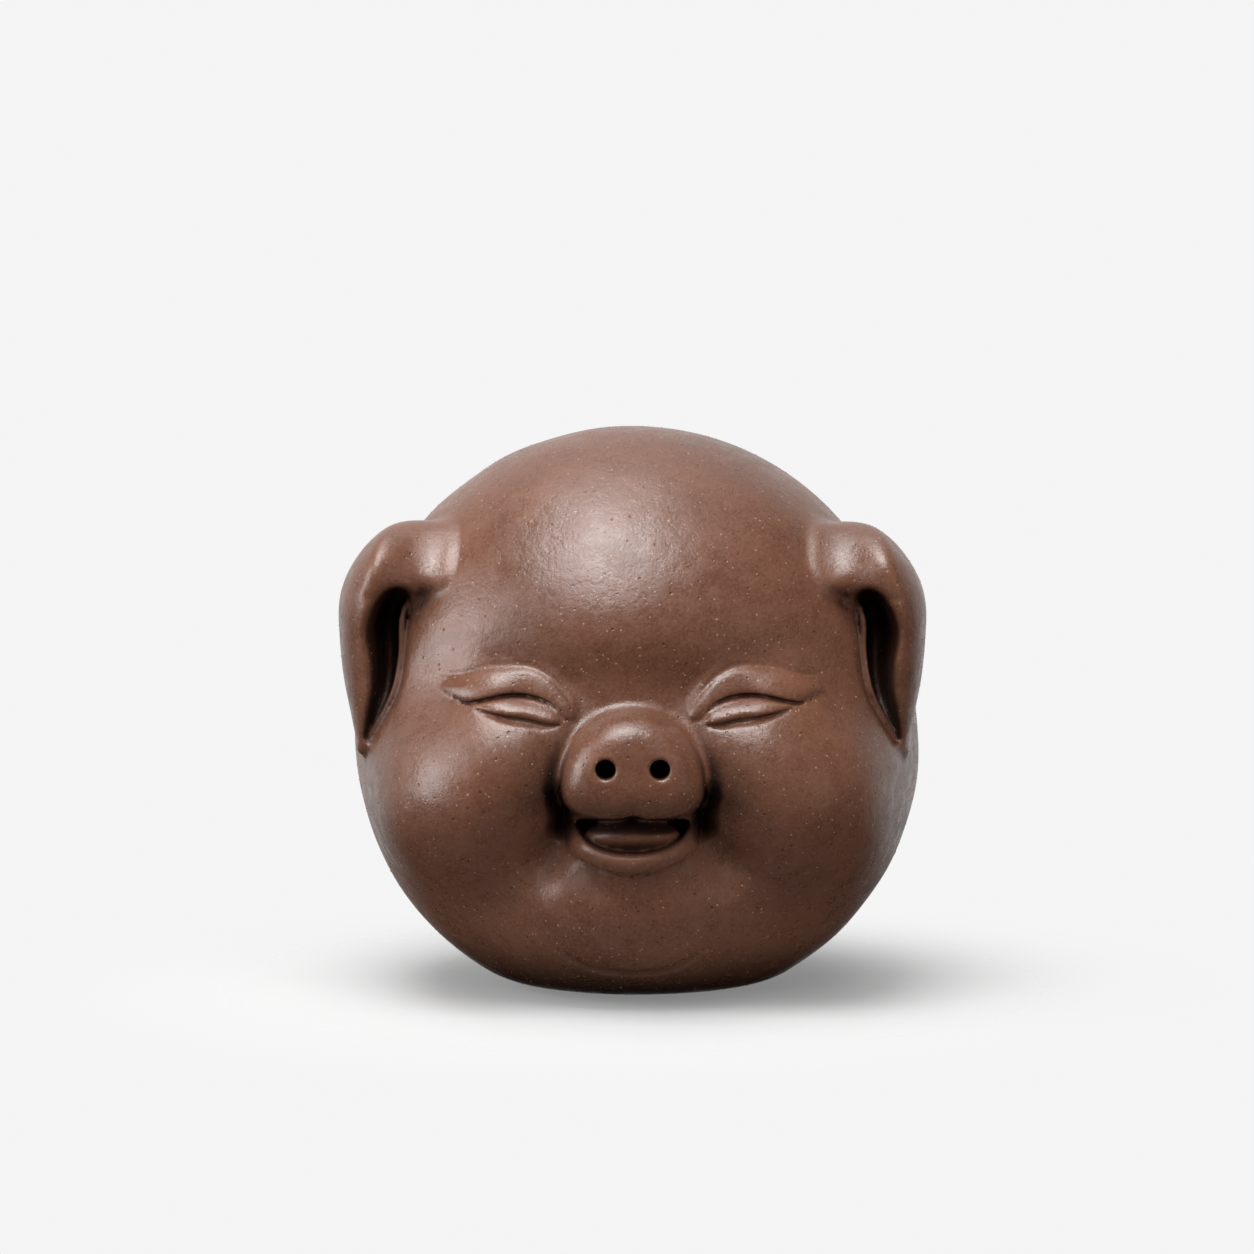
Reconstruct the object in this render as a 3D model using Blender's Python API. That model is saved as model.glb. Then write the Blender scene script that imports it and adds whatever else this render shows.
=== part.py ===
"""A laughing pig head in unglazed brown clay, the small figure kept on a tea tray.

It is one fired piece: a hollow ball of a head with puffed cheeks, shut eyes, a pierced snout,
an open mouth and two drooping ears, standing on a flat foot with a vent hole.
Units are metres. +Z is up, the face looks along -Y, and the foot stands on Z = 0.

The clay form is a signed field: below zero inside the clay, above zero outside. Masses are
joined with soft seams, then strokes raise or press the skin as a modelling tool would.
"""

import math

import bpy
import numpy as np

# The ball of the head: an upper ball for the skull and a lower one, a little wider and less deep,
# for the jowls.
SKULL_WIDTH = 0.0664
SKULL_DEPTH = 0.0630
SKULL_HEIGHT = 0.0664
SKULL_CENTRE_Z = 0.0338
JOWL_EXTRA_WIDTH = 0.0009
JOWL_WIDTH = SKULL_WIDTH + JOWL_EXTRA_WIDTH
JOWL_LESS_DEPTH = 0.0010
JOWL_DEPTH = SKULL_DEPTH - JOWL_LESS_DEPTH
JOWL_HEIGHT = 0.0636
JOWL_SHIFT_X = 0.0007
JOWL_CENTRE_Z = 0.0285
HEAD_SEAM = 0.0015
MIDDLE_ROUND = 0.0003

# The flat foot, the ball-shaped hollow inside and the round vent that opens it underneath.
FOOT_EDGE_ROUND = 0.0022
HOLLOW_Y = 0.0030
HOLLOW_Z = 0.0325
HOLLOW_WIDTH = 0.0540
HOLLOW_DEPTH = 0.0460
HOLLOW_HEIGHT = 0.0540
VENT_RADIUS = 0.0045
VENT_EDGE_ROUND = 0.0008

# The front between the cheeks is set back, so that they bulge on each side of the mouth.
BAY_Z = 0.0240
BAY_HEIGHT = 0.0085
BAY_WIDTH = 0.0108
BAY_DEPTH = 0.0038

# Cheeks as stations from beside the snout outwards, each (x, y, z, radius), then muzzle and chin.
CHEEK_LENGTHENING = 1.35
CHEEK_INNER_SEAM = 0.0024
CHEEK_OUTER_SEAM = 0.0080
CHEEK_STATIONS = (
    (0.0105, -0.0232, 0.0310, 0.0056),
    (0.0140, -0.0210, 0.0292, 0.0082),
    (0.0178, -0.0190, 0.0258, 0.0096),
    (0.0192, -0.0178, 0.0248, 0.0096),
)
MUZZLE_Y = -0.0190
MUZZLE_Z = 0.0215
MUZZLE_WIDTH = 0.0172
MUZZLE_DEPTH = 0.0258
MUZZLE_HEIGHT = 0.0160
MUZZLE_SEAM = 0.0025
CHIN_Y = -0.0160
CHIN_Z = 0.0125
CHIN_WIDTH = 0.0300
CHIN_DEPTH = 0.0250
CHIN_HEIGHT = 0.0190
CHIN_SEAM = 0.0050

# The dip across the eyes, under the brow.
EYE_DIP_Z = 0.0375
EYE_DIP_HEIGHT = 0.0055
EYE_DIP_WIDTH = 0.0210
EYE_DIP_DEPTH = 0.0024

# The snout: a block with a round face that is flat below, and its two pierced nostrils.
SNOUT_FACE_Y = -0.0370
SNOUT_ROOT_Y = -0.0240
SNOUT_CENTRE_Z = 0.0277
SNOUT_RADIUS = 0.0074
SNOUT_BOTTOM_Z = 0.0243
SNOUT_CORNER_ROUND = 0.0036
SNOUT_NOTCH_HEIGHT = 0.0004
SNOUT_NOTCH_WIDTH = 0.0010
SNOUT_FLARE = 0.13
SNOUT_DOME = 0.0007
SNOUT_EDGE_ROUND = 0.0032
SNOUT_SEAM = 0.0012
NOSTRIL_RADIUS = 0.00115
NOSTRIL_X = 0.0031
NOSTRIL_Z = 0.0298
NOSTRIL_BACK_Y = -0.0180
NOSTRIL_EDGE_ROUND = 0.0004

# The mouth: a half-moon opening under the snout, and the tongue in it.
MOUTH_Z = 0.0236
MOUTH_HALF_WIDTH = 0.0070
MOUTH_DROP = 0.0041
MOUTH_RISE = 0.0016
MOUTH_BACK_Y = -0.0235
MOUTH_EDGE_ROUND = 0.0006
TONGUE_Y = -0.0266
TONGUE_Z = 0.0213
TONGUE_WIDTH = 0.0104
TONGUE_DEPTH = 0.0076
TONGUE_HEIGHT = 0.0032

# An ear: stations from its root to its tip, each (x, y, z, radius). The one at +X hangs lower.
EAR_DROP = 0.0002
EAR_LENGTHENING = 2.1
EAR_SEAM = 0.0010
EAR_STATIONS = (
    (0.0225, -0.0160, 0.0530, 0.0046),
    (0.0258, -0.0130, 0.0522, 0.0046),
    (0.0282, -0.0118, 0.0502, 0.0046),
    (0.0299, -0.0106, 0.0470, 0.0046),
    (0.0302, -0.0098, 0.0430, 0.0044),
    (0.0302, -0.0094, 0.0385, 0.0040),
    (0.0304, -0.0102, 0.0345, 0.0030),
    (0.0312, -0.0112, 0.0310, 0.0015),
    (0.0318, -0.0115, 0.0297, 0.0008),
)

# The ear's root: it starts with a low step on the skull, along a line bowed towards the crown,
# and stands further off the skull on the way out.
ROOT_X = 0.0206
ROOT_Z = 0.0540
ROOT_BOW = 0.0016
ROOT_HALF_HEIGHT = 0.0060
ROOT_STEP = 0.0005
ROOT_SLOPE = 0.30
ROOT_BEND = 60.0
ROOT_BLEND = 0.0020
ROOT_EDGE_ROUND = 0.0012

# The rim above the cup is cut back first, then the long cup is sunk into the front of the ear.
RIM_CUT_STATIONS = (
    (0.0232, -0.0230, 0.0468, 0.0024),
    (0.0262, -0.0222, 0.0473, 0.0030),
    (0.0281, -0.0213, 0.0449, 0.0032),
    (0.0286, -0.0203, 0.0420, 0.0021),
    (0.0289, -0.0192, 0.0395, 0.0014),
)
RIM_CUT_EDGE_ROUND = 0.0005
CUP_LENGTHENING = 3.6
CUP_EDGE_ROUND = 0.0008
CUP_STATIONS = (
    (0.0266, -0.0196, 0.0478, 0.0010),
    (0.0278, -0.0196, 0.0470, 0.0020),
    (0.0287, -0.0190, 0.0440, 0.0024),
    (0.0286, -0.0182, 0.0405, 0.0020),
    (0.0289, -0.0172, 0.0370, 0.0015),
    (0.0299, -0.0168, 0.0340, 0.0010),
    (0.0309, -0.0156, 0.0312, 0.0005),
)

# The thin raised line down the inner side of the ear's cup, each station (x, y, z, radius).
RIDGE_SEAM = 0.0004
RIDGE_STATIONS = (
    (0.0262, -0.0152, 0.0478, 0.0004),
    (0.0269, -0.0158, 0.0455, 0.0006),
    (0.0270, -0.0158, 0.0420, 0.0006),
    (0.0272, -0.0160, 0.0400, 0.0006),
    (0.0277, -0.0162, 0.0374, 0.0006),
    (0.0287, -0.0156, 0.0350, 0.0006),
    (0.0300, -0.0145, 0.0326, 0.0005),
    (0.0312, -0.0128, 0.0303, 0.0004),
)

# Tool strokes on the face, each with the tool's (half width, height, flatness) and its path seen
# from the front, as (x, z) from the outer end inwards or from the top down.
UPPER_LID_TOOL = (0.0028, 0.0009, 1.1)
UPPER_LID = (
    (0.0222, 0.0380),
    (0.0190, 0.0381),
    (0.0160, 0.0387),
    (0.0130, 0.0391),
    (0.0100, 0.0383),
    (0.0078, 0.0366),
    (0.0067, 0.0348),
)
LID_FOLD_TOOL = (0.0007, -0.0003, 1.0)
LID_FOLD = (
    (0.0225, 0.0395),
    (0.0203, 0.0395),
    (0.0182, 0.03995),
    (0.0166, 0.0405),
    (0.0143, 0.04075),
    (0.0122, 0.0408),
    (0.0106, 0.0403),
    (0.0090, 0.0391),
    (0.0074, 0.0372),
    (0.0064, 0.0352),
)
LOWER_LID_TOOL = (0.0011, 0.0006, 1.5)
LOWER_LID = (
    (0.0185, 0.0362),
    (0.0155, 0.0361),
    (0.0125, 0.0359),
    (0.0095, 0.0351),
    (0.0082, 0.0344),
)
EYE_SLIT_TOOL = (0.0004, -0.0006, 1.0)
EYE_SLIT = (
    (0.0212, 0.0371),
    (0.0198, 0.0365),
    (0.0184, 0.0365),
    (0.0154, 0.03725),
    (0.0136, 0.03745),
    (0.0118, 0.0373),
    (0.0102, 0.03685),
    (0.0090, 0.0361),
    (0.0078, 0.0346),
)
LOWER_CREASE_TOOL = (0.0006, -0.0003, 1.0)
LOWER_CREASE = (
    (0.0187, 0.0362),
    (0.0170, 0.0355),
    (0.0140, 0.0347),
    (0.0120, 0.03445),
    (0.0100, 0.03405),
    (0.0083, 0.0342),
)
CHEEK_FOLD_TOOL = (0.0036, -0.0017, 1.0)
CHEEK_FOLD = (
    (0.0096, 0.0272),
    (0.0092, 0.0248),
    (0.0091, 0.0222),
    (0.0097, 0.0203),
    (0.0109, 0.0185),
    (0.0124, 0.0167),
)
MOUTH_CORNER_TOOL = (0.0024, -0.0042, 1.0)
MOUTH_CORNER = (
    (0.0082, 0.0282),
    (0.0080, 0.0255),
    (0.0078, 0.0225),
    (0.0086, 0.0198),
)
LOWER_LIP_TOOL = (0.0018, 0.0016, 1.5)
LOWER_LIP = (
    (0.0074, 0.0240),
    (0.0065, 0.0210),
    (0.0048, 0.0194),
    (0.0026, 0.0187),
    (0.0, 0.0184),
)
LIP_CREASE_TOOL = (0.0004, -0.0005, 1.0)
LIP_CREASE = (
    (0.0072, 0.0205),
    (0.0061, 0.0186),
    (0.0047, 0.0179),
    (0.0031, 0.0173),
    (0.0, 0.0168),
)
CHIN_FOLD_TOOL = (0.0006, -0.0004, 1.0)
CHIN_FOLD = (
    (0.0080, 0.0074),
    (0.0046, 0.0052),
    (0.0, 0.0045),
)

# How finely the field is read, in blocks of grid steps, and how many faces are kept.
GRID_STEP = 0.0006
GRID_BLOCK = 4
KEPT_FACES = 10400

CLAY_COLOUR = (0.115, 0.048, 0.028, 1.0)
CLAY_ROUGHNESS = 0.45


def ellipsoid(x, y, z, centre, size):
    """Distance to an ellipsoid, from its centre and its full width, depth and height."""
    rx, ry, rz = (side / 2 for side in size)
    ux, uy, uz = (x - centre[0]) / rx, (y - centre[1]) / ry, (z - centre[2]) / rz
    reach = np.sqrt(ux * ux + uy * uy + uz * uz) + 1e-9
    slope = np.sqrt((ux / rx) ** 2 + (uy / ry) ** 2 + (uz / rz) ** 2) + 1e-9
    return reach * (reach - 1) / slope


def joined(a, b, seam):
    """Clay of both, with a soft seam of about that width between them."""
    share = np.maximum(seam - np.abs(a - b), 0) / seam
    return np.minimum(a, b) - share * share * seam / 4


def cut(a, b, edge):
    """Clay of a without b, with a soft edge."""
    return -joined(-a, b, edge)


def smooth_line(points, steps=5):
    """Points along a smooth curve through the given ones."""
    p = np.array(points, float)
    p = np.vstack([2 * p[0] - p[1], p, 2 * p[-1] - p[-2]])
    t = np.linspace(0, 1, steps, endpoint=False)[:, None]
    spans = []
    for a, b, c, d in zip(p, p[1:], p[2:], p[3:]):
        bend = (2 * a - 5 * b + 4 * c - d) * t**2
        twist = (3 * b - a - 3 * c + d) * t**3
        spans.append(b + ((c - a) * t + bend + twist) / 2)
    return np.vstack([*spans, p[-2:-1]])


def tapering_rope(x, y, z, stations, lengthening):
    """Distance to a rope of changing radius through the stations, drawn out along Y."""
    line = smooth_line(stations)
    line[:, 1] /= lengthening
    y = y / lengthening
    nearest = np.full(x.shape, np.inf)
    for (ax, ay, az, ar), (bx, by, bz, br) in zip(line, line[1:]):
        ex, ey, ez = bx - ax, by - ay, bz - az
        t = ((x - ax) * ex + (y - ay) * ey + (z - az) * ez) / (ex * ex + ey * ey + ez * ez)
        t = np.clip(t, 0, 1)
        away = np.sqrt((x - ax - t * ex) ** 2 + (y - ay - t * ey) ** 2 + (z - az - t * ez) ** 2)
        nearest = np.minimum(nearest, away - ar - t * (br - ar))
    return nearest


def stroke(x, z, points, tool, runs_out=(True, True), pointed=True):
    """Height added by a tool stroke along a curve. It runs out at its start, its end or both."""
    half_width, height, flat = tool
    line = smooth_line(points)
    low, high = line.min(0) - half_width, line.max(0) + half_width
    near = (x > low[0]) & (x < high[0]) & (z > low[1]) & (z < high[1])
    px, pz = x[near], z[near]
    away = np.full(px.shape, np.inf)
    along = np.zeros(px.shape)
    for i, ((ax, az), (bx, bz)) in enumerate(zip(line, line[1:])):
        ex, ez = bx - ax, bz - az
        t = np.clip(((px - ax) * ex + (pz - az) * ez) / (ex * ex + ez * ez), 0, 1)
        d = np.hypot(px - ax - t * ex, pz - az - t * ez)
        closer = d < away
        away = np.where(closer, d, away)
        along = np.where(closer, (i + t) / (len(line) - 1), along)
    narrow = np.ones(px.shape)
    if runs_out[0]:
        narrow *= np.clip(along * 3, 0, 1)
    if runs_out[1]:
        narrow *= np.clip((1 - along) * 3, 0, 1)
    narrow = np.sqrt(narrow) if pointed else narrow * narrow * (3 - 2 * narrow)
    width = half_width * (narrow if pointed else 1) + 1e-6
    share = np.clip(1 - (away / width) ** (2 * flat), 0, 1)
    added = np.zeros(x.shape)
    added[near] = height * narrow * share * share
    return added


def snout_outline(x, z):
    """Distance in the snout's face to its outline, a circle cut flat below with a small notch."""
    circle = np.hypot(x, z - SNOUT_CENTRE_Z) - SNOUT_RADIUS
    notch = SNOUT_NOTCH_HEIGHT * np.exp(-((x / SNOUT_NOTCH_WIDTH) ** 2))
    return -joined(-circle, z - SNOUT_BOTTOM_Z - notch, SNOUT_CORNER_ROUND)


def with_ears(x, y, z, form):
    """The clay with its ears on, cut back to their rims and cupped."""
    ear = tapering_rope(x, y, z, EAR_STATIONS, EAR_LENGTHENING)
    bow = ROOT_BOW * np.minimum(((z - ROOT_Z) / ROOT_HALF_HEIGHT) ** 2, 1)
    outwards = x - ROOT_X - bow
    lift = ROOT_STEP + ROOT_SLOPE * outwards + ROOT_BEND * outwards**2
    ear = cut(ear, lift - form, ROOT_BLEND)
    ear = cut(ear, outwards, ROOT_EDGE_ROUND)
    form = joined(form, ear, EAR_SEAM)
    form = cut(form, tapering_rope(x, y, z, RIM_CUT_STATIONS, 1.0), RIM_CUT_EDGE_ROUND)
    form = cut(form, tapering_rope(x, y, z, CUP_STATIONS, CUP_LENGTHENING), CUP_EDGE_ROUND)
    return joined(form, tapering_rope(x, y, z, RIDGE_STATIONS, 1.0), RIDGE_SEAM)


def clay(x, y, z):
    """The whole clay form: below zero in the clay."""
    across = x
    skull = ellipsoid(x, y, z, (0, 0, SKULL_CENTRE_Z), (SKULL_WIDTH, SKULL_DEPTH, SKULL_HEIGHT))
    jowl_size = (JOWL_WIDTH, JOWL_DEPTH, JOWL_HEIGHT)
    jowls = ellipsoid(x, y, z, (JOWL_SHIFT_X, 0, JOWL_CENTRE_Z), jowl_size)
    form = joined(skull, jowls, HEAD_SEAM)
    x = np.hypot(x, MIDDLE_ROUND)
    dip = np.exp(-(((z - EYE_DIP_Z) / EYE_DIP_HEIGHT) ** 2) - (x / EYE_DIP_WIDTH) ** 4)
    form += np.where(y < 0, EYE_DIP_DEPTH * dip, 0)
    bay = np.exp(-(((z - BAY_Z) / BAY_HEIGHT) ** 4) - (x / BAY_WIDTH) ** 4)
    form += np.where(y < 0, BAY_DEPTH * bay, 0)
    cheek = tapering_rope(x, y, z, CHEEK_STATIONS, CHEEK_LENGTHENING)
    inner, outer = CHEEK_STATIONS[0][0], CHEEK_STATIONS[-1][0]
    outwards = np.clip((x - inner) / (outer - inner), 0, 1)
    softer = outwards * outwards * (3 - 2 * outwards)
    form = joined(form, cheek, CHEEK_INNER_SEAM + (CHEEK_OUTER_SEAM - CHEEK_INNER_SEAM) * softer)
    chin = ellipsoid(x, y, z, (0, CHIN_Y, CHIN_Z), (CHIN_WIDTH, CHIN_DEPTH, CHIN_HEIGHT))
    form = joined(form, chin, CHIN_SEAM)
    muzzle_size = (MUZZLE_WIDTH, MUZZLE_DEPTH, MUZZLE_HEIGHT)
    muzzle = ellipsoid(x, y, z, (0, MUZZLE_Y, MUZZLE_Z), muzzle_size)
    form = joined(form, muzzle, MUZZLE_SEAM)

    front = y < 0
    added = np.zeros(x.shape)
    fx, fz = x[front], z[front]
    added[front] = (
        stroke(fx, fz, UPPER_LID, UPPER_LID_TOOL)
        + stroke(fx, fz, LID_FOLD, LID_FOLD_TOOL)
        + stroke(fx, fz, LOWER_LID, LOWER_LID_TOOL)
        + stroke(fx, fz, EYE_SLIT, EYE_SLIT_TOOL)
        + stroke(fx, fz, LOWER_CREASE, LOWER_CREASE_TOOL)
        + stroke(fx, fz, CHEEK_FOLD, CHEEK_FOLD_TOOL, pointed=False)
        + stroke(fx, fz, MOUTH_CORNER, MOUTH_CORNER_TOOL, pointed=False)
        + stroke(fx, fz, LOWER_LIP, LOWER_LIP_TOOL, (True, False))
        + stroke(fx, fz, LIP_CREASE, LIP_CREASE_TOOL, (True, False))
        + stroke(fx, fz, CHIN_FOLD, CHIN_FOLD_TOOL, (True, False))
    )
    form -= added

    drop = (z - MOUTH_Z) / np.where(z < MOUTH_Z, MOUTH_DROP, MOUTH_RISE)
    opening = (np.hypot(x / MOUTH_HALF_WIDTH, drop) - 1) * MOUTH_RISE
    opening = np.maximum(opening, y - MOUTH_BACK_Y)
    form = cut(form, opening, MOUTH_EDGE_ROUND)
    tongue_size = (TONGUE_WIDTH, TONGUE_DEPTH, TONGUE_HEIGHT)
    tongue = ellipsoid(x, y, z, (0, TONGUE_Y, TONGUE_Z), tongue_size)
    form = joined(form, tongue, MOUTH_EDGE_ROUND)

    outline = snout_outline(x, z) - SNOUT_FLARE * (y - SNOUT_FACE_Y)
    from_middle = (x * x + (z - SNOUT_CENTRE_Z) ** 2) / SNOUT_RADIUS**2
    dome = SNOUT_FACE_Y + SNOUT_DOME * from_middle - y
    snout = -joined(-outline, -dome, SNOUT_EDGE_ROUND)
    snout = np.maximum(snout, y - SNOUT_ROOT_Y)
    form = joined(form, snout, SNOUT_SEAM)

    form = with_ears(x, y, z + EAR_DROP * (across > 0), form)
    form = -joined(-form, z, FOOT_EDGE_ROUND)

    nostril = np.hypot(x - NOSTRIL_X, z - NOSTRIL_Z) - NOSTRIL_RADIUS
    form = cut(form, np.maximum(nostril, y - NOSTRIL_BACK_Y), NOSTRIL_EDGE_ROUND)
    hollow_size = (HOLLOW_WIDTH, HOLLOW_DEPTH, HOLLOW_HEIGHT)
    hollow = ellipsoid(across, y, z, (0, HOLLOW_Y, HOLLOW_Z), hollow_size)
    vent = np.maximum(np.hypot(across, y) - VENT_RADIUS, z - HOLLOW_Z)
    return cut(form, np.minimum(hollow, vent), VENT_EDGE_ROUND)


def without_touching_sheets(values, filled):
    """The grid values with corners filled where two sheets would share one edge or point."""
    values = values.copy()
    nx, ny, nz = (side - 1 for side in values.shape)
    while True:
        inside = values < 0
        fill = np.zeros(values.shape, bool)
        for u, v in ((0, 1), (1, 2), (2, 0)):
            start, both = [slice(None)] * 3, [slice(None)] * 3
            start[u] = start[v] = slice(None, -1)
            both[u] = both[v] = slice(1, None)
            step_u, step_v = list(start), list(start)
            step_u[u] = slice(1, None)
            step_v[v] = slice(1, None)
            ring = [tuple(corner) for corner in (start, step_u, both, step_v)]
            a, b, c, d = (inside[corner] for corner in ring)
            crossed = (a == c) & (b == d) & (a != b)
            for corner in ring:
                fill[corner] |= crossed
        cube = [(i, j, k) for i in (0, 1) for j in (0, 1) for k in (0, 1)]
        corners = [(slice(i, nx + i), slice(j, ny + j), slice(k, nz + k)) for i, j, k in cube]
        count = sum(inside[corner].astype(np.int8) for corner in corners)
        for low, high in zip(corners[:4], corners[:3:-1]):
            apart = (inside[low] == inside[high]) & (count == np.where(inside[low], 2, 6))
            for corner in corners:
                fill[corner] |= apart
        fill &= ~inside
        if not fill.any():
            return values
        values[fill] = filled


def grid_values(field, axes, step, block=GRID_BLOCK):
    """The field on the grid, exact near the surface and rough elsewhere."""
    middles = [axis[::block] + step * (block - 1) / 2 for axis in axes]
    values = field(*(g.ravel() for g in np.meshgrid(*middles, indexing="ij")))
    values = values.reshape([len(middle) for middle in middles])
    for way, axis in enumerate(axes):
        values = np.repeat(values, block, way).take(range(len(axis)), way)
    near = np.abs(values) < (block + 1) * step
    values[near] = field(*(g[near] for g in np.meshgrid(*axes, indexing="ij")))
    return values


def box_round(field, step):
    """Low and high corners of a grid that holds all the clay, found on a coarse grid."""
    reach = max(SKULL_WIDTH, SKULL_DEPTH, JOWL_WIDTH, JOWL_DEPTH)
    top = max(SKULL_CENTRE_Z + SKULL_HEIGHT, JOWL_CENTRE_Z + JOWL_HEIGHT)
    coarse = GRID_BLOCK * step
    sides = np.arange(-reach, reach, coarse)
    places = np.meshgrid(sides, sides, np.arange(-coarse, top, coarse), indexing="ij")
    near = field(*places) < coarse
    low = np.array([place[near].min() for place in places])
    high = np.array([place[near].max() for place in places])
    return step * (np.floor((low - coarse) / step) + 0.5), high + coarse


def skin_of(field, low, high, step):
    """Points and quads of the surface where the field is zero, one point in each crossed cell."""
    axes = [np.arange(a, b, step) for a, b in zip(low, high)]
    nx, ny, nz = (len(axis) - 1 for axis in axes)
    values = without_touching_sheets(grid_values(field, axes, step), -step / 50)
    inside = values < 0
    corners = [(i, j, k) for i in (0, 1) for j in (0, 1) for k in (0, 1)]
    filled = sum(
        inside[i : nx + i, j : ny + j, k : nz + k].astype(np.int8)
        for i, j, k in corners
    )
    crossed = (filled > 0) & (filled < 8)
    cells = np.argwhere(crossed)
    number = np.full(crossed.shape, -1)
    number[crossed] = np.arange(len(cells))

    total = np.zeros((len(cells), 3))
    hits = np.zeros(len(cells))
    for axis in range(3):
        for corner in corners:
            if corner[axis]:
                continue
            start = cells + corner
            end = start.copy()
            end[:, axis] += 1
            a, b = values[tuple(start.T)], values[tuple(end.T)]
            crosses = (a < 0) != (b < 0)
            share = np.where(crosses, a / np.where(crosses, a - b, 1), 0)
            point = np.tile(np.array(corner, float), (len(cells), 1))
            point[:, axis] += share
            total += point * crosses[:, None]
            hits += crosses
    points = np.array(low) + step * (cells + total / hits[:, None])

    quads = []
    for axis in range(3):
        first = [slice(None)] * 3
        second = [slice(None)] * 3
        first[axis], second[axis] = slice(None, -1), slice(1, None)
        a, b = inside[tuple(first)], inside[tuple(second)]
        u, v = (axis + 1) % 3, (axis + 2) % 3
        edges = np.argwhere(a != b)
        outward = a[tuple(edges.T)]
        ring = []
        for du, dv in ((0, 0), (1, 0), (1, 1), (0, 1)):
            cell = edges.copy()
            cell[:, u] -= du
            cell[:, v] -= dv
            ring.append(number[tuple(cell.T)])
        ring = np.stack(ring, 1)
        quads.append(np.where(outward[:, None], ring, ring[:, ::-1]))
    return points, np.vstack(quads)


def settled(points, field, step, rounds=2):
    """The points moved onto the surface where the field is zero."""
    small = step / 20
    for _ in range(rounds):
        value = field(*points.T)
        beside = [field(*(points + small * way).T) for way in np.eye(3)]
        slope = (np.stack(beside, 1) - value[:, None]) / small
        steep = np.maximum((slope**2).sum(1), 0.05)
        move = slope * (value / steep)[:, None]
        far = np.linalg.norm(move, axis=1)
        points = points - move * (np.minimum(far, step / 2) / (far + 1e-12))[:, None]
    return points


def clay_material():
    """Dark brown unglazed clay, a little glossy from handling."""
    material = bpy.data.materials.new("brown_clay")
    material.use_nodes = True
    shader = material.node_tree.nodes["Principled BSDF"]
    shader.inputs["Base Color"].default_value = CLAY_COLOUR
    shader.inputs["Roughness"].default_value = CLAY_ROUGHNESS
    material.diffuse_color = CLAY_COLOUR
    return material


def main():
    """Builds the pig head."""
    for obj in list(bpy.data.objects):
        bpy.data.objects.remove(obj)
    low, high = box_round(clay, GRID_STEP)
    points, quads = skin_of(clay, low, high, GRID_STEP)
    points = settled(points, clay, GRID_STEP)
    points[:, 2] = np.where(points[:, 2] < 0.00003, 0, points[:, 2])
    points[:, :2] -= (points[:, :2].min(0) + points[:, :2].max(0)) / 2
    mesh = bpy.data.meshes.new("pig_head")
    mesh.from_pydata(points.tolist(), [], quads.tolist())
    head = bpy.data.objects.new("pig_head", mesh)
    bpy.context.scene.collection.objects.link(head)
    mesh.materials.append(clay_material())
    mesh.shade_smooth()
    fewer = head.modifiers.new("fewer_faces", "DECIMATE")
    fewer.ratio = KEPT_FACES / (2 * len(quads))


if __name__ == "__main__":
    main()
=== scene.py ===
"""A laughing pig head of unglazed brown clay, as kept on a tea tray, dressed for its picture.

The head is one fired piece. Its form is a signed field, below zero in the clay: masses are joined with soft
seams, then strokes raise or press the skin as a modelling tool would. The field is meshed finely here, given
the mottled, grained and hand-polished finish of the fired clay, and set in a pale studio.
"""

import logging
import math
from dataclasses import dataclass
from enum import Enum
from typing import Callable, NamedTuple

import bpy
import numpy as np
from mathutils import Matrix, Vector


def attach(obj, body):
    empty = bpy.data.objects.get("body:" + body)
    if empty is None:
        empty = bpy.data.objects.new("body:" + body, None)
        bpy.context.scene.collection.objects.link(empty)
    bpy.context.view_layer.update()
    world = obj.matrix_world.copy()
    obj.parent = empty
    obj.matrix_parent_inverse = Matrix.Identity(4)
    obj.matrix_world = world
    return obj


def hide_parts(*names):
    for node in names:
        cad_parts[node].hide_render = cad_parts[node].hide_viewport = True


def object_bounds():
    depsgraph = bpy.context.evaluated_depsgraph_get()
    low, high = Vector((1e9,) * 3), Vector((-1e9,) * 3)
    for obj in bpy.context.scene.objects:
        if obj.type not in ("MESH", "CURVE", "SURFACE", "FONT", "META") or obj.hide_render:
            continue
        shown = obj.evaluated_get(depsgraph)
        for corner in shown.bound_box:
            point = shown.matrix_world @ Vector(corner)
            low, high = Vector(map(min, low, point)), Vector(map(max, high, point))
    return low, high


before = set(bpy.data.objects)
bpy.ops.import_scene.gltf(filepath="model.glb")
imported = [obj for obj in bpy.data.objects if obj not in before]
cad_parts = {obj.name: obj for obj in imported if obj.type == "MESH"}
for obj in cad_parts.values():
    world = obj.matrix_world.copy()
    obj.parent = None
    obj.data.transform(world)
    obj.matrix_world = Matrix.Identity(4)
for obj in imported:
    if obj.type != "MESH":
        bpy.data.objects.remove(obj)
CAD_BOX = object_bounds()

LOG = logging.getLogger("pig_head")

Array = np.ndarray
Triple = tuple[float, float, float]
Colour = tuple[float, float, float, float]


class Place(NamedTuple):
    """The places at which a form is read. In a feature's own methods x is counted from the face's middle."""

    x: Array
    y: Array
    z: Array


Field = Callable[[Place], Array]


class Taper(Enum):
    """Which ends of a tool stroke run out to nothing."""

    BOTH = (True, True)
    START = (True, False)


def joined(a: Array, b: Array, seam: float | Array) -> Array:
    """Joins two clay masses with a soft seam.

    Args:
        a: Distances to the first mass.
        b: Distances to the second mass.
        seam: Width over which the two run together.

    Returns:
        Distances to the joined mass.
    """
    share = np.maximum(seam - np.abs(a - b), 0) / seam
    return np.minimum(a, b) - share * share * seam / 4


def cut(a: Array, b: Array, edge: float) -> Array:
    """Takes one mass out of another and leaves a soft edge.

    Args:
        a: Distances to the clay.
        b: Distances to what is taken out.
        edge: Width of the rounding along the edge.

    Returns:
        Distances to what is left.
    """
    return -joined(-a, b, edge)


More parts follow.
